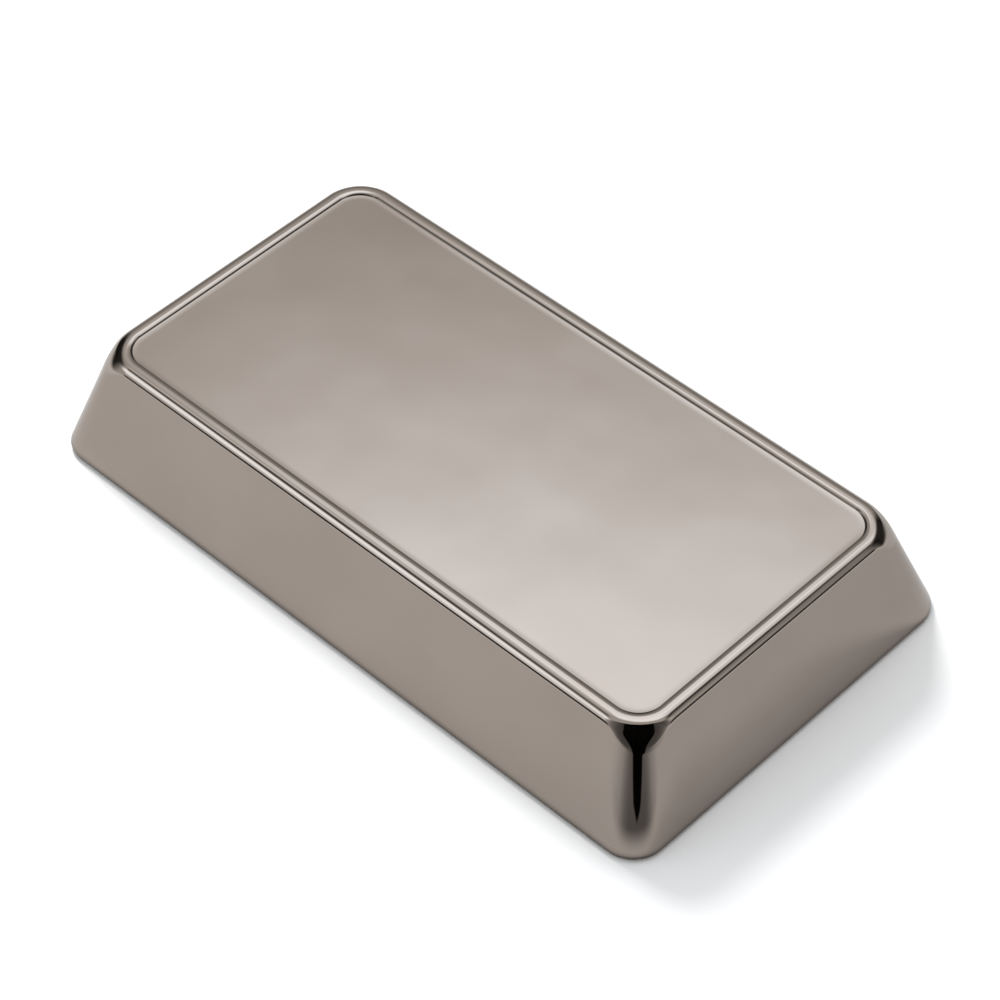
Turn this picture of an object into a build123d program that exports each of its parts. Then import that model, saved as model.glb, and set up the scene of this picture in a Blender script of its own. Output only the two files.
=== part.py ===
import os
from math import radians, tan

from build123d import *

# A cast platinum bar of one kilogram: one low block with sloping sides and rounded
# corners. A soft bead runs round its top, with a shallow panel sunk inside it.
# It lies flat on its base, centred on the origin, with its length along X.

# Block
base_length = 84.9
base_width = 48.05
height = 13.4
end_draft = 15.5
side_draft = 18.8
corner_radius = 3.8
foot_rounding = 0.6

# Bevel round the top, at one slope all the way, so that it bites deeper at the corners
bevel_inset = 0.4
bevel_slope = 45.0
shoulder_rounding = 0.7

# Bead between the bevel and the panel, flat only along its crest
rim_width = 1.1
rim_corner_radius = 4.3
rim_rounding = 1.3

# Panel sunk inside the bead
panel_depth = 0.2
panel_wall_slope = 35.0
panel_cove_radius = 0.1
panel_edge_rounding = 0.95

top_length = base_length - 2 * height * tan(radians(end_draft))
top_width = base_width - 2 * height * tan(radians(side_draft))
rim_length = top_length - 2 * bevel_inset
rim_breadth = top_width - 2 * bevel_inset
bevel_spread = height / tan(radians(bevel_slope))
panel_length = rim_length - 2 * rim_width
panel_breadth = rim_breadth - 2 * rim_width
panel_corner_radius = rim_corner_radius - rim_width

with BuildPart() as bar:
    # Sloping sides
    with BuildSketch():
        RectangleRounded(base_length, base_width, corner_radius)
    with BuildSketch(Plane.XY.offset(height)):
        RectangleRounded(top_length, top_width, corner_radius)
    loft(ruled=True)

    # Bevel: the block is kept inside a hood that widens downwards from the rim
    with BuildSketch(Plane.XY.offset(height)):
        RectangleRounded(rim_length, rim_breadth, rim_corner_radius)
    with BuildSketch():
        RectangleRounded(
            rim_length + 2 * bevel_spread,
            rim_breadth + 2 * bevel_spread,
            rim_corner_radius + bevel_spread,
        )
    loft(ruled=True, mode=Mode.INTERSECT)

    # Edges eased as on a polished casting
    shoulder_edges = bar.edges(Select.NEW)
    fillet(shoulder_edges, shoulder_rounding)
    fillet(bar.faces().sort_by(Axis.Z)[-1].edges(), rim_rounding)
    fillet(bar.faces().sort_by(Axis.Z)[0].edges(), foot_rounding)

    # Sunk panel, whose mouth rounds off the inner half of the bead
    with BuildSketch(Plane.XY.offset(height)):
        RectangleRounded(panel_length, panel_breadth, panel_corner_radius)
    extrude(amount=-panel_depth, taper=90 - panel_wall_slope, mode=Mode.SUBTRACT)
    panel_floor = bar.faces().filter_by(GeomType.PLANE).filter_by(Axis.Z).sort_by(Axis.Z)[-2]
    fillet(panel_floor.edges(), panel_cove_radius)
    crest = bar.faces().sort_by(Axis.Z)[-1]
    fillet(crest.inner_wires().edges(), panel_edge_rounding)

bar.part.label = "bar"

os.makedirs("parts", exist_ok=True)
export_step(bar.part, "parts/bar.step")
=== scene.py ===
"""A polished platinum bar on a pale studio floor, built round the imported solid.

Lengths are in metres, in the solid's own frame: X along the bar, Z up from the floor.
"""

from math import cos, pi, radians, sin, sqrt, tan

import bpy
from bpy.props import FloatProperty, FloatVectorProperty, IntProperty, PointerProperty
from bpy.types import Operator, Panel, PropertyGroup
from mathutils import Matrix, Vector


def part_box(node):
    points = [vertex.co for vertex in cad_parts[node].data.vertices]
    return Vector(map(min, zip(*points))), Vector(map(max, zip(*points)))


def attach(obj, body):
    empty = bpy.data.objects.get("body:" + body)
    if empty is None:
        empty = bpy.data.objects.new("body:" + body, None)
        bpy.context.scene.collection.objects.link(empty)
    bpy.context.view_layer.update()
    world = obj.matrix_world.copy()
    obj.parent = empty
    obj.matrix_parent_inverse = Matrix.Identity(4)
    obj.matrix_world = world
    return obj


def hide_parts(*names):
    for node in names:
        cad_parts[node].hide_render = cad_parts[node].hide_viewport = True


bl_info = {
    "name": "Platinum Bar",
    "version": (1, 0, 0),
    "blender": (4, 5, 0),
    "location": "3D View > Sidebar > Platinum Bar",
    "description": "Casts a polished platinum bar and lights it on a pale floor",
    "category": "Add Mesh",
}

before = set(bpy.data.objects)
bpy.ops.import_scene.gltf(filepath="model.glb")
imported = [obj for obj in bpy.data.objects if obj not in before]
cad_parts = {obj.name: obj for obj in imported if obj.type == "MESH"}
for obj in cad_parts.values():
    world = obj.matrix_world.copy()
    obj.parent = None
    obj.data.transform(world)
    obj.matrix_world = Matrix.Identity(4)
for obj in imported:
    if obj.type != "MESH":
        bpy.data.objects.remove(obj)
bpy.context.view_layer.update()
BAR_LOW, BAR_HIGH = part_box("bar")

ALONG = (1.0, 0.0, 0.0)
ACROSS = (0.0, 1.0, 0.0)
UP = (0.0, 0.0, 1.0)


def length(name, description, default, low=0.0):
    """A length in metres, as a setting."""
    return FloatProperty(
        name=name,
        description=description,
        default=default,
        min=low,
        precision=5,
        subtype="DISTANCE",
        unit="LENGTH",
    )


def angle(name, description, degrees):
    """An angle given in degrees, as a setting."""
    return FloatProperty(
        name=name, description=description, default=radians(degrees), subtype="ANGLE", unit="ROTATION"
    )


def number(name, description, default, high=1.0):
    """A plain number, as a setting."""
    return FloatProperty(
        name=name, description=description, default=default, min=0.0, max=high, precision=3
    )


def colour(name, description, default):
    """A linear colour, as a setting."""
    return FloatVectorProperty(
        name=name, description=description, default=default, size=3, min=0.0, max=4.0, subtype="COLOR"
    )


class PLATINUM_PG_bar(PropertyGroup):
    """Sizes of the cast bar."""

    length: length("Length", "Over the widest part of the foot", BAR_HIGH.x - BAR_LOW.x)
    width: length("Width", "Over the widest part of the foot", BAR_HIGH.y - BAR_LOW.y)
    height: length("Height", "From the floor to the rim", BAR_HIGH.z - BAR_LOW.z)
    end_draft: angle("End draft", "Lean of the two ends", 15.5)
    side_draft: angle("Side draft", "Lean of the two long sides", 18.8)
    corner: length("Corner", "Corner radius of the sloping sides", 0.0038)
    foot_rounding: length("Foot rounding", "Radius where the sides turn under", 0.0006)
    bevel_inset: length("Bevel inset", "From the sloping sides in to the bevel's top edge", 0.0004)
    bevel_slope: angle("Bevel slope", "Slope of the bevel all round", 45.0)
    shoulder_rounding: length("Shoulder rounding", "Radius between the sides and the bevel", 0.0007)
    corner_softness: length("Corner softness", "What the shoulder's radius gains at the corners", 0.0060)
    rim_rounding: length("Rim rounding", "Radius between the bevel and the rim", 0.0013)
    rim_width: length("Rim width", "From the bevel's top edge to the panel's mouth", 0.0011)
    rim_corner: length("Rim corner", "Corner radius of the rim", 0.0043)
    panel_depth: length("Panel depth", "How far the panel lies below the rim", 0.0002)
    panel_slope: angle("Panel wall slope", "Slope of the panel's wall", 35.0)
    panel_cove: length("Panel cove", "Radius where the panel's floor meets its wall", 0.0001)
    panel_edge: length("Panel edge", "Radius at the panel's mouth", 0.00095)
    dish_width: length("Dish width", "Border of the panel that turns up a little", 0.0004)
    dish_slope: angle("Dish slope", "How much the panel's border turns up", 2.5)
    # Painted shade: these settings paint a dark line along the panel's crease, darker at the corners
    crease_shade_width: length("Crease width", "Spread of the panel's dark line up its wall", 0.00025)
    crease_shade_sides: number("Crease on the sides", "Strength of the dark line on the straight sides", 0.38)
    crease_shade_corners: number("Crease at the corners", "What the dark line gains at the corners", 2.2, 4.0)
    corner_steps: IntProperty(
        name="Corner steps", description="Faces round each corner", default=32, min=4, max=128
    )


class PLATINUM_PG_finish(PropertyGroup):
    """Colour and polish of the metal, with painted shade in the crease and a painted contact shadow at
    the foot.
    """

    metal: colour("Platinum", "Colour of the polished metal", (0.375, 0.320, 0.279))
    bloom: colour("Bloom", "Colour in the faint clouds of the polish", (0.395, 0.341, 0.30))
    bright: colour("Bright edge", "Colour of the edges that handling rubs", (0.43, 0.376, 0.334))
    # Painted shade: this dark colour is painted in the panel's crease and as a contact shadow at the foot
    crease: colour("Crease", "Colour in the panel's crease and at the foot", (0.045, 0.037, 0.032))
    bright_share: number("Bright share", "How much of the bright colour a rubbed edge takes", 0.6)
    roughness: number("Roughness", "Roughness of the polished faces", 0.08)
    haze: number("Haze", "Roughness that the clouds add", 0.04)
    hairlines: number("Hairlines", "Roughness that the fine polishing lines add", 0.03)
    edge_polish: number("Edge polish", "Roughness that rubbing takes off the edges", 0.02)
    cloud_scale: number("Cloud scale", "How close together the clouds lie", 70.0, 500.0)
    wave_scale: number("Wave scale", "How close together the slow waves lie", 95.0, 500.0)
    ripple: length("Ripple", "Height of the slow waves left by polishing", 0.00003)
    line_height: number("Line height", "Height of the fine lines as a share of the waves", 0.004)
    # Painted contact shadow: the metal darkens towards the foot up to this height
    painted_foot_shadow: length("Foot line", "Height of the darker line at the foot", 0.0013)


class PLATINUM_PG_studio(PropertyGroup):
    """Floor, light and camera."""

    floor_radius: length("Floor radius", "Radius of the round floor", 0.6)
    fade_start: length("Fade start", "Where the floor starts to turn into the backdrop", 0.075)
    fade_end: length("Fade end", "Where the floor has become the backdrop", 0.12)
    floor_colour: colour("Floor", "Colour of the floor", (0.68, 0.68, 0.68))
    floor_seen: colour("Floor in view", "Colour of the floor as the camera sees it", (1.0, 1.0, 1.0))
    floor_lit: colour("Lit floor", "Mean tone of the lit floor in the metal", (0.86, 0.86, 0.86))
    floor_shade: colour("Shaded floor", "Mean tone of the shaded floor in the metal", (0.65, 0.65, 0.65))
    evenness: number("Evenness", "Share of the mean tone in what the metal shows of the floor", 0.5)
    contact: length("Contact", "Border round the foot that keeps its own shadow in the metal", 0.007)
    backdrop: colour("Backdrop", "Colour that the camera sees round the floor", (1.0, 1.0, 1.0))
    room: number("Room", "Level of the pale room round the soft boxes", 0.7, 4.0)
    room_tint: colour("Room tint", "Colour of the room", (1.0, 0.99, 0.975))
    box_tint: colour("Soft box tint", "Colour of the bright soft boxes", (1.0, 1.065, 1.14))
    turn: angle("Camera turn", "Turn of the camera round the bar", 44.42)
    rise: angle("Camera rise", "Height of the camera above the horizon", 46.83)
    roll: angle("Camera roll", "Tilt of the camera", -0.86)
    distance: length("Camera distance", "From the camera to the rim's middle, along its axis", 0.34393)
    aim_right: length("Aim right", "From the picture's middle right to the rim's middle", -0.001133, -1.0)
    aim_up: length("Aim up", "From the picture's middle up to the rim's middle", 0.006814, -1.0)
    lens: number("Lens", "Focal length in millimetres", 120.5, 1000.0)
    sensor: number("Sensor", "Width of the camera's sensor in millimetres", 36.0, 100.0)


class Wire:
    """A shader socket in a Python expression: each operator adds its Math node."""

    def __init__(self, nodes, socket):
        self.nodes = nodes
        self.socket = socket

    def __add__(self, other):
        return self.nodes.math("ADD", self, other)

    def __radd__(self, other):
        return self.nodes.math("ADD", other, self)

    def __sub__(self, other):
        return self.nodes.math("SUBTRACT", self, other)

    def __rsub__(self, other):
        return self.nodes.math("SUBTRACT", other, self)

    def __mul__(self, other):
        return self.nodes.math("MULTIPLY", self, other)

    def __rmul__(self, other):
        return self.nodes.math("MULTIPLY", other, self)

    def __truediv__(self, other):
        return self.nodes.math("DIVIDE", self, other)

    def __rtruediv__(self, other):
        return self.nodes.math("DIVIDE", other, self)

    def __abs__(self):
        return self.nodes.math("ABSOLUTE", self)


class Nodes:
    """The nodes of one material or of the world."""

    def __init__(self, owner):
        owner.use_nodes = True
        self.tree = owner.node_tree
        self.tree.nodes.clear()

    def node(self, kind, settings=None, inputs=None, output=0):
        """Adds a node: its settings first, then the values or links of its sockets."""
        made = self.tree.nodes.new(kind)
        for name, value in (settings or {}).items():
            setattr(made, name, value)
        for name, value in (inputs or {}).items():
            if isinstance(value, Wire):
                self.tree.links.new(value.socket, made.inputs[name])
            else:
                made.inputs[name].default_value = value
        return Wire(self, made.outputs[output]) if made.outputs else None

    def math(self, operation, *values):
        """One Math node."""
        return self.node("ShaderNodeMath", {"operation": operation}, dict(enumerate(values)))

    def most(self, first, second):
        """The larger of two values."""
        return self.math("MAXIMUM", first, second)

    def dot(self, vector, axis):
        """How far a vector goes along an axis."""
        return self.node(
            "ShaderNodeVectorMath", {"operation": "DOT_PRODUCT"}, {0: vector, 1: axis}, "Value"
        )

    def ease(self, value, start, end):
        """0 up to start, 1 from end on, and smooth between them."""
        return self.node(
            "ShaderNodeMapRange",
            {"interpolation_type": "SMOOTHSTEP"},
            {"Value": value, "From Min": start, "From Max": end, "To Min": 0.0, "To Max": 1.0},
        )

    def noise(self, place, scale, detail):
        """Soft noise, from about 0 to 1."""
        return self.node(
            "ShaderNodeTexNoise", {}, {"Vector": place, "Scale": scale, "Detail": detail}, "Fac"
        )

    def blend(self, factor, first, second):
        """A colour between two colours, which a Mix node takes at sockets 6 and 7."""
        return self.node(
            "ShaderNodeMix", {"data_type": "RGBA"}, {"Factor": factor, 6: first, 7: second}, 2
        )


def opaque(tint):
    """A colour setting with full alpha, as a shader's socket takes it."""
    return (*tint, 1.0)


def heading(turn, rise=0.0):
    """The direction at a turn from -Y, anticlockwise from above, and a rise."""
    return Vector((sin(turn) * cos(rise), -cos(turn) * cos(rise), sin(rise)))


def rightward(turn):
    """The level direction to the right of a view from a turn."""
    return Vector((cos(turn), sin(turn), 0.0))


def rounded_profile(points, arcs):
    """An open line with its corners rounded, and how worn each of its points is.

    Each corner's arc is a radius, a number of faces and the wear in its middle.
    """
    line = [points[0]]
    worn = [0.0]
    for before, corner, after, (radius, faces, wear) in zip(points, points[1:], points[2:], arcs):
        come = Vector(corner) - Vector(before)
        leave = Vector(after) - Vector(corner)
        turn = come.angle_signed(leave)
        reach = radius * tan(abs(turn) / 2)
        start = Vector(corner) - come.normalized() * reach
        across = Vector((-come.y, come.x)).normalized() * (-1 if turn > 0 else 1)
        middle = start + across * radius
        for step in range(faces + 1):
            spoke = Matrix.Rotation(-turn * step / faces, 2) @ (start - middle)
            line.append(tuple(middle + spoke))
            worn.append(wear * sin(pi * step / faces))
    line.append(points[-1])
    worn.append(0.0)
    return line, worn


# Flat rings that the section has on the panel's floor and on the underside
PANEL_RING = 0.0016
FOOT_RING = 0.0015

# Share of the panel's turned-up border that its rounding takes
DISH_ROUNDING = 0.8

# How many times sooner the crease's painted shade ends on the panel's floor than on its wall
FLOOR_SIDE = 4

# Search for the height at which the bevel meets a side, and the least part of a ray that counts
HALVINGS = 50
TINY = 1e-9


class BarForm:
    """The bar's outlines, worked out from its settings."""

    def __init__(self, bar):
        self.bar = bar
        self.base = Vector((
            bar.length / 2 + self.foot_overhang(bar.end_draft),
            bar.width / 2 + self.foot_overhang(bar.side_draft),
        ))
        self.lean = Vector((tan(bar.end_draft), tan(bar.side_draft)))
        rim = self.base - self.lean * bar.height - Vector((bar.bevel_inset, bar.bevel_inset))
        self.centre = rim - Vector((bar.rim_corner, bar.rim_corner))

    def foot_overhang(self, draft):
        """What the rounding of the foot takes off each side."""
        return self.bar.foot_rounding * ((1 + sin(draft)) / cos(draft) - 1)

    def side_offset(self, ray, height):
        """How far a side stands out from the rim's outline, on a ray from a rim corner's centre."""
        radius = self.bar.corner
        half = self.base - self.lean * height
        reach = half - self.centre
        far = min(reach[axis] / ray[axis] for axis in (0, 1) if ray[axis] > TINY)
        pivot = half - Vector((radius, radius)) - self.centre
        if ray.x * far > pivot.x and ray.y * far > pivot.y:
            along = pivot.dot(ray)
            far = along + sqrt(max(radius ** 2 - pivot.length_squared + along ** 2, 0.0))
        return far - self.bar.rim_corner

    def corner_lean(self):
        """How far a corner leans out for each unit that it goes down."""
        diagonal = Vector((1.0, 1.0)).normalized()
        foot = self.side_offset(diagonal, 0.0)
        top = self.side_offset(diagonal, self.bar.height)
        return (foot - top) / self.bar.height

    def shoulder_drop(self, ray):
        """How far below the rim the bevel meets the side along a ray."""
        low, high = 0.0, self.bar.height
        for _ in range(HALVINGS):
            drop = (low + high) / 2
            if drop / tan(self.bar.bevel_slope) < self.side_offset(ray, self.bar.height - drop):
                low = drop
            else:
                high = drop
        return low

    def profile(self, ray):
        """The section along a ray: distances out from the rim's outline with heights, and wear with
        painted shade.

        Wear is 1 where handling rubs an edge; below 0 the value is painted shade along the panel's
        crease.
        """
        bar = self.bar
        cornering = 2 * ray.x * ray.y
        drop = self.shoulder_drop(ray)
        foot = self.side_offset(ray, 0.0)
        mouth = -bar.rim_width
        crease = mouth - bar.panel_depth / tan(bar.panel_slope)
        dish = crease - bar.dish_width
        crease_height = bar.height - bar.panel_depth
        floor_height = crease_height - bar.dish_width * tan(bar.dish_slope)
        points = (
            (dish - PANEL_RING, floor_height),
            (dish, floor_height),
            (crease, crease_height),
            (mouth, bar.height),
            (0.0, bar.height),
            (drop / tan(bar.bevel_slope), bar.height - drop),
            (foot, 0.0),
            (foot - FOOT_RING, 0.0),
        )
        # Radius, faces and wear of each arc
        arcs = (
            (DISH_ROUNDING * bar.dish_width / tan(bar.dish_slope / 2), 6, 0.0),
            (bar.panel_cove, 4, 0.0),
            (bar.panel_edge, 12, 0.4),
            (bar.rim_rounding, 14, 1.0),
            (bar.shoulder_rounding + bar.corner_softness * cornering ** 3, 12, 1.0),
            (bar.foot_rounding, 10, 0.0),
        )
        line, worn = rounded_profile(points, arcs)
        # Painted shade: a dark line along the panel's crease, strongest at the corners, stands in for the
        # shade the groove holds
        painted_shade = bar.crease_shade_sides + bar.crease_shade_corners * cornering ** 2
        for index, spot in enumerate(line):
            gap = spot[0] - crease
            spread = max(gap, -FLOOR_SIDE * gap) / bar.crease_shade_width
            worn[index] -= painted_shade * max(1.0 - spread, 0.0)
        return line, worn

    def rays(self):
        """Rays from the centres of the rim's corners, once round the bar, with each corner's signs.

        A ray points as it would in the first corner, and the signs mirror it into its own.
        """
        steps = self.bar.corner_steps
        for quarter, signs in enumerate(((1, 1), (-1, 1), (-1, -1), (1, -1))):
            for step in range(steps + 1):
                turn = radians(90) * step / steps
                ray = Vector((cos(turn), sin(turn)))
                if quarter % 2:
                    ray = Vector((ray.y, ray.x))
                yield ray, Vector(signs)


def bar_mesh(bar):
    """The bar as one closed mesh: sections from the panel over the rim and down to the foot."""
    form = BarForm(bar)
    columns = []
    masks = []
    for ray, signs in form.rays():
        line, worn = form.profile(ray)
        column = []
        for out, height in line:
            spot = form.centre + ray * (bar.rim_corner + out)
            column.append((spot.x * signs.x, spot.y * signs.y, height))
        columns.append(column)
        masks.append(worn)
    count, rows = len(columns), len(columns[0])
    faces = []
    for index in range(count):
        following = (index + 1) % count
        for row in range(rows - 1):
            faces.append((
                index * rows + row,
                index * rows + row + 1,
                following * rows + row + 1,
                following * rows + row,
            ))
    panel_floor = [index * rows for index in range(count)]
    underside = [index * rows + rows - 1 for index in reversed(range(count))]
    faces += [panel_floor, underside]
    mesh = bpy.data.meshes.new("platinum_bar")
    mesh.from_pydata([spot for column in columns for spot in column], [], faces)
    mesh.polygons.foreach_set("use_smooth", [True] * len(mesh.polygons))
    # The edge attribute holds wear on rubbed edges, and below 0 the painted shade of the panel's crease
    edge = mesh.attributes.new("edge", "FLOAT", "POINT")
    edge.data.foreach_set("value", [wear_and_shade for mask in masks for wear_and_shade in mask])
    mesh.validate()
    return mesh


# Noise levels between which a cloud fades in, and above which a polishing line shows
CLOUD_START, CLOUD_FULL = 0.35, 0.7
LINE_START = 0.45

# Polishing lines: long along the bar, fine across it
LINE_SCALES = (60.0, 2600.0, 2600.0)


def platinum(finish):
    """Polished platinum: warm grey metal with faint clouds, fine polishing lines, bright worn edges,
    painted shade in the panel's crease and a painted contact shadow at the foot.
    """
    material = bpy.data.materials.new("polished_platinum")
    nodes = Nodes(material)
    place = nodes.node("ShaderNodeTexCoord", output="Object")
    clouds = nodes.noise(place, finish.cloud_scale, detail=3.0)
    waves = nodes.noise(place, finish.wave_scale, detail=1.0)
    drawn = nodes.node("ShaderNodeVectorMath", {"operation": "MULTIPLY"}, {0: place, 1: LINE_SCALES})
    lines = nodes.noise(drawn, 1.0, detail=4.0)
    grain = nodes.most(lines - LINE_START, 0.0)
    edge = nodes.node("ShaderNodeAttribute", {"attribute_name": "edge"}, output="Fac")
    rubbed = nodes.most(edge, 0.0)
    # Painted contact shadow: darker towards the floor, up to the foot shadow's height
    foot = nodes.ease(nodes.dot(place, UP), finish.painted_foot_shadow, 0.0)
    cloudy = nodes.ease(clouds, CLOUD_START, CLOUD_FULL)
    tone = nodes.blend(cloudy, opaque(finish.metal), opaque(finish.bloom))
    tone = nodes.blend(rubbed * finish.bright_share, tone, opaque(finish.bright))
    # Painted shade: the crease's dark line and the painted contact shadow at the foot take the dark
    # colour
    tone = nodes.blend(nodes.most(0.0 - edge, foot), tone, opaque(finish.crease))
    roughness = finish.roughness + clouds * finish.haze + grain * finish.hairlines
    relief = waves + lines * finish.line_height
    surface = nodes.node(
        "ShaderNodeBsdfPrincipled",
        {},
        {
            "Base Color": tone,
            "Metallic": 1.0,
            "Roughness": roughness - rubbed * finish.edge_polish,
            "Normal": nodes.node("ShaderNodeBump", {}, {"Height": relief, "Distance": finish.ripple}),
        },
    )
    nodes.node("ShaderNodeOutputMaterial", {}, {"Surface": surface})
    return material


# What stands in the room, each in front of those above it: its turn from the camera and its rise in
# degrees, its half width, half height and the softness of its edge as slopes, and its level
STUDIO = {
    "far wall": (-172.0, 10.0, 1.2, 0.38, 0.40, 0.30),
    "back box": (163.0, 64.0, 0.32, 0.30, 0.11, 1.9),
    "right back wall": (142.0, 58.0, 0.11, 0.12, 0.10, 1.3),
    "left back wall": (-140.0, 60.0, 0.12, 0.10, 0.08, 1.1),
    "left glow": (-108.0, 36.0, 0.20, 0.16, 0.18, 1.35),
    "left box": (-89.0, 37.0, 0.25, 0.17, 0.07, 1.95),
    "right wall": (84.0, 33.0, 0.50, 0.37, 0.08, 0.42),
    "right glow": (74.5, 33.0, 0.115, 0.12, 0.06, 0.88),
    "left low flag": (-73.0, 10.0, 0.16, 0.27, 0.05, 0.04),
    "right low flag": (75.0, 8.0, 0.16, 0.25, 0.05, 0.04),
    "left high flag": (-106.0, 55.0, 0.17, 0.09, 0.05, 0.10),
    "right high flag": (98.0, 54.0, 0.17, 0.09, 0.05, 0.06),
}

# A zone of the room fades out towards the plane behind which it can't be seen
LEAST_DEPTH = 0.001
FULL_DEPTH = 0.1

# Levels between which the room's tint turns into that of the soft boxes
TINT_START, TINT_FULL = 0.6, 1.6


def studio_zone(nodes, ray, turn, rise, half_width, half_height, softness):
    """A mask of one soft box, wall or flag of the room: where it stands and its half sizes, as slopes."""
    towards = heading(turn, rise)
    across = rightward(turn)
    above = towards.cross(across)
    depth = nodes.dot(ray, towards)
    front = nodes.most(depth, LEAST_DEPTH)
    sideways = abs(nodes.dot(ray, across) / front)
    upwards = abs(nodes.dot(ray, above) / front)
    inside = nodes.ease(sideways, half_width + softness, half_width - softness)
    inside = inside * nodes.ease(upwards, half_height + softness, half_height - softness)
    return inside * nodes.ease(depth, 0.0, FULL_DEPTH)


def studio_world(studio):
    """The light: soft boxes and flags in a pale room, with a plain backdrop for the camera instead."""
    world = bpy.data.worlds.new("studio")
    nodes = Nodes(world)
    ray = nodes.node("ShaderNodeTexCoord", output="Generated")
    level = studio.room
    for turn, rise, *sizes, strength in STUDIO.values():
        mask = studio_zone(nodes, ray, studio.turn + radians(turn), radians(rise), *sizes)
        level = level + mask * (strength - level)
    boxes = nodes.ease(level, TINT_START, TINT_FULL)
    tint = nodes.blend(boxes, opaque(studio.room_tint), opaque(studio.box_tint))
    room = nodes.node("ShaderNodeBackground", {}, {"Color": tint, "Strength": level})
    plain = {"Color": opaque(studio.backdrop), "Strength": 1.0}
    backdrop = nodes.node("ShaderNodeBackground", {}, plain)
    camera = nodes.node("ShaderNodeLightPath", output="Is Camera Ray")
    shown = nodes.node("ShaderNodeMixShader", {}, {0: camera, 1: room, 2: backdrop})
    nodes.node("ShaderNodeOutputWorld", {}, {"Surface": shown})
    bpy.context.scene.world = world


# Black cards: their size, their gap to the foot of the bar, and the share of their reach seen in full
CARD_HALF_WIDTH = 0.024
CARD_TOP = 0.0205
CARD_GAP = 0.005
CARD_FULL_REACH = 0.7

# The shapes on the cards are drawn in millimetres
PER_METRE = 1000.0


def near_card(nodes, across, above, close):
    """The card at the near corner: a point with a broad head, and a soft grey border below the head.

    Each part is a half width or a darkness, and the millimetres between which it fades in.
    Metal out of the card's reach shows the border alone.
    """
    trim, softness = 0.2, 0.25
    tip = 1.45 * nodes.ease(above, 2.6, 6.0)
    stem = 0.8 * nodes.ease(above, 4.0, 12.0)
    head = 1.9 * nodes.ease(above, 11.5, 15.0)
    width = tip + stem + head - trim
    core = nodes.ease(across - width, softness, -softness) * close
    brow = 0.85 * nodes.ease(across, 15.0, 3.5) * nodes.ease(above, 10.0, 12.0) * close
    halo = 0.42 * nodes.ease(across, 8.0, 1.8) + 0.38 * nodes.ease(across, 22.0, 3.0)
    halo = halo * nodes.ease(above, 0.6, 3.4) * nodes.ease(above, 14.0, 12.0)
    return nodes.most(core, nodes.most(halo, brow))


def side_card(nodes, across, above, close):
    """The cards at the left and right corners: one soft strip, in millimetres."""
    darkness = 0.95
    ends = nodes.ease(across, 6.5, 2.8)
    bottom = nodes.ease(above, 11.0, 13.0)
    top = nodes.ease(above, 20.4, 17.0)
    return darkness * ends * bottom * top * close


def card_material(name, reach, shape):
    """Black where the card's shape is, and clear elsewhere. The shape is told which metal is close."""
    material = bpy.data.materials.new(name)
    nodes = Nodes(material)
    place = nodes.node("ShaderNodeTexCoord", output="Object")
    across = abs(nodes.dot(place, (PER_METRE, 0.0, 0.0)))
    above = nodes.dot(place, (0.0, 0.0, PER_METRE))
    gone = nodes.node("ShaderNodeLightPath", output="Ray Length")
    close = nodes.ease(gone, reach, CARD_FULL_REACH * reach)
    mask = shape(nodes, across, above, close)
    clear = nodes.node("ShaderNodeBsdfTransparent")
    black = nodes.node("ShaderNodeEmission", {}, {"Color": (0.0, 0.0, 0.0, 1.0), "Strength": 1.0})
    surface = nodes.node("ShaderNodeMixShader", {}, {0: mask, 1: clear, 2: black})
    nodes.node("ShaderNodeOutputMaterial", {}, {"Surface": surface})
    return material


def black_card(name, studio, bar, side, turn, reach, shape):
    """A black card that leans over a corner of the bar and is seen only in its metal."""
    form = BarForm(bar)
    lean = form.corner_lean()
    back = CARD_TOP * lean
    mesh = bpy.data.meshes.new(name)
    outline = (
        (-CARD_HALF_WIDTH, 0.0, 0.0),
        (CARD_HALF_WIDTH, 0.0, 0.0),
        (CARD_HALF_WIDTH, back, CARD_TOP),
        (-CARD_HALF_WIDTH, back, CARD_TOP),
    )
    mesh.from_pydata(outline, [], [(0, 1, 2, 3)])
    mesh.materials.append(card_material(name, reach, shape))
    card = bpy.data.objects.new(name, mesh)
    turn = studio.turn + radians(turn)
    corner = Vector((form.centre.x * side[0], form.centre.y * side[1], 0.0))
    card.location = corner + heading(turn) * (bar.rim_corner + bar.height * lean + CARD_GAP)
    card.rotation_euler = (0.0, 0.0, turn)
    card.visible_camera = False
    card.visible_diffuse = False
    card.visible_shadow = False
    bpy.context.scene.collection.objects.link(card)


def floor_lamp(name, studio, turn, rise, reach, size, power):
    """A soft lamp for the floor and its shadow, which the metal does not show."""
    data = bpy.data.lights.new(name, "AREA")
    data.shape = "DISK"
    data.size = size
    data.energy = power
    lamp = bpy.data.objects.new(name, data)
    away = heading(studio.turn + radians(turn), radians(rise))
    lamp.location = away * reach
    lamp.rotation_euler = away.to_track_quat("Z", "Y").to_euler()
    lamp.visible_camera = False
    lamp.visible_glossy = False
    bpy.context.scene.collection.objects.link(lamp)


# The side on which the metal sees a shaded floor, and where along it that shade starts and is full
SHADE_SIDE = (0.7, 0.7, 0.0)
SHADE_START, SHADE_FULL = -0.03, 0.02


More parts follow.
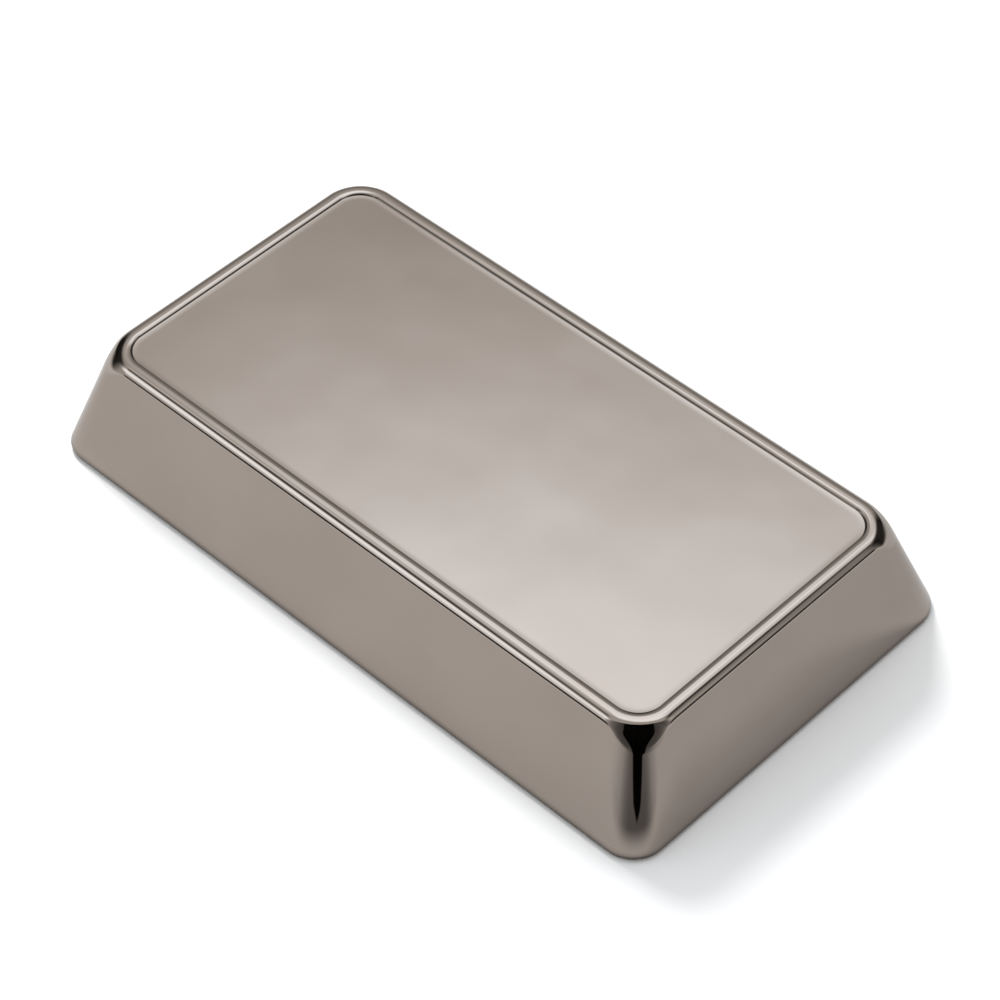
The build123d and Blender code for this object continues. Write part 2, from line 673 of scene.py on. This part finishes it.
def floor_material(studio):
    """A pale floor that keeps the bar's shadow and turns into the backdrop further out.

    In the metal it is evened out towards a mean tone, except for the shadow close to the foot.
    """
    material = bpy.data.materials.new("pale_floor")
    nodes = Nodes(material)
    place = nodes.node("ShaderNodeTexCoord", output="Object")
    camera = nodes.node("ShaderNodeLightPath", output="Is Camera Ray")
    glossy = nodes.node("ShaderNodeLightPath", output="Is Glossy Ray")
    through = nodes.node("ShaderNodeLightPath", output="Is Transmission Ray")
    seen = nodes.most(nodes.most(camera, glossy), through)
    tone = nodes.blend(camera, opaque(studio.floor_colour), opaque(studio.floor_seen))
    matte = nodes.node("ShaderNodeBsdfDiffuse", {}, {"Color": tone})
    radius = nodes.node("ShaderNodeVectorMath", {"operation": "LENGTH"}, {0: place}, "Value")
    far = nodes.ease(radius, studio.fade_start, studio.fade_end)
    shaded = nodes.ease(nodes.dot(place, SHADE_SIDE), SHADE_START, SHADE_FULL)
    mean = nodes.blend(shaded, opaque(studio.floor_lit), opaque(studio.floor_shade))
    glow = nodes.blend(nodes.most(far, camera), mean, opaque(studio.backdrop))
    plain = nodes.node("ShaderNodeEmission", {}, {"Color": glow, "Strength": 1.0})
    past_end = abs(nodes.dot(place, ALONG)) - BAR_HIGH.x
    past_side = abs(nodes.dot(place, ACROSS)) - BAR_HIGH.y
    clear = nodes.ease(nodes.most(past_end, past_side), 0.0, studio.contact)
    shown = nodes.most(far * seen, glossy * clear * studio.evenness)
    surface = nodes.node("ShaderNodeMixShader", {}, {0: shown, 1: matte, 2: plain})
    nodes.node("ShaderNodeOutputMaterial", {}, {"Surface": surface})
    return material


def studio_floor(studio):
    """The round floor that the bar lies on."""
    bpy.ops.mesh.primitive_circle_add(vertices=128, radius=studio.floor_radius, fill_type="NGON")
    floor = bpy.context.object
    floor.name = "floor"
    floor.data.materials.append(floor_material(studio))


def studio_camera(studio):
    """The camera at the photo's viewing angle."""
    back = heading(studio.turn, studio.rise)
    level = rightward(studio.turn)
    right = level * cos(studio.roll) + back.cross(level) * sin(studio.roll)
    up = back.cross(right)
    rim_middle = Vector((0.0, 0.0, BAR_HIGH.z))
    spot = rim_middle + back * studio.distance - right * studio.aim_right - up * studio.aim_up
    data = bpy.data.cameras.new("camera")
    data.lens = studio.lens
    data.sensor_width = studio.sensor
    camera = bpy.data.objects.new("camera", data)
    camera.matrix_world = Matrix((
        (right.x, up.x, back.x, spot.x),
        (right.y, up.y, back.y, spot.y),
        (right.z, up.z, back.z, spot.z),
        (0.0, 0.0, 0.0, 1.0),
    ))
    bpy.context.scene.collection.objects.link(camera)
    bpy.context.scene.camera = camera


class PLATINUM_OT_bar(Operator):
    """Cast the bar and polish it"""

    bl_idname = "platinum.bar"
    bl_label = "Cast bar"

    def execute(self, context):
        settings = context.scene.platinum_bar
        piece = bpy.data.objects.new("platinum_bar", bar_mesh(settings))
        context.scene.collection.objects.link(piece)
        piece.data.materials.append(platinum(context.scene.platinum_finish))
        even = piece.modifiers.new("even_faces", "WEIGHTED_NORMAL")
        even.mode = "FACE_AREA"
        even.weight = 50
        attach(piece, "root")
        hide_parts("bar")
        return {"FINISHED"}


class PLATINUM_OT_stage(Operator):
    """Lay the floor, light it and set up the camera"""

    bl_idname = "platinum.stage"
    bl_label = "Set stage"

    def execute(self, context):
        studio = context.scene.platinum_studio
        bar = context.scene.platinum_bar
        studio_floor(studio)
        studio_world(studio)
        black_card("near_card", studio, bar, side=(1, -1), turn=0.0, reach=0.012, shape=near_card)
        black_card("left_card", studio, bar, side=(-1, -1), turn=-116.0, reach=0.009, shape=side_card)
        black_card("right_card", studio, bar, side=(1, 1), turn=102.0, reach=0.009, shape=side_card)
        floor_lamp("key_lamp", studio, turn=-157.0, rise=48.0, reach=0.5, size=0.14, power=1.7)
        studio_camera(studio)
        context.scene.view_settings.view_transform = "Standard"
        return {"FINISHED"}


class PLATINUM_PT_panel(Panel):
    """Settings and steps of the bar"""

    bl_idname = "PLATINUM_PT_panel"
    bl_label = "Platinum Bar"
    bl_space_type = "VIEW_3D"
    bl_region_type = "UI"
    bl_category = "Platinum Bar"

    def draw(self, context):
        for group, step in (
            (context.scene.platinum_bar, PLATINUM_OT_bar.bl_idname),
            (context.scene.platinum_finish, None),
            (context.scene.platinum_studio, PLATINUM_OT_stage.bl_idname),
        ):
            box = self.layout.box()
            for name in group.__annotations__:
                box.prop(group, name)
            if step:
                box.operator(step)


CLASSES = (
    PLATINUM_PG_bar,
    PLATINUM_PG_finish,
    PLATINUM_PG_studio,
    PLATINUM_OT_bar,
    PLATINUM_OT_stage,
    PLATINUM_PT_panel,
)


def register():
    for kind in CLASSES:
        bpy.utils.register_class(kind)
    bpy.types.Scene.platinum_bar = PointerProperty(type=PLATINUM_PG_bar)
    bpy.types.Scene.platinum_finish = PointerProperty(type=PLATINUM_PG_finish)
    bpy.types.Scene.platinum_studio = PointerProperty(type=PLATINUM_PG_studio)


def unregister():
    del bpy.types.Scene.platinum_studio
    del bpy.types.Scene.platinum_finish
    del bpy.types.Scene.platinum_bar
    for kind in reversed(CLASSES):
        bpy.utils.unregister_class(kind)


def main():
    register()
    bpy.ops.platinum.bar()
    bpy.ops.platinum.stage()


if __name__ == "__main__":
    main()
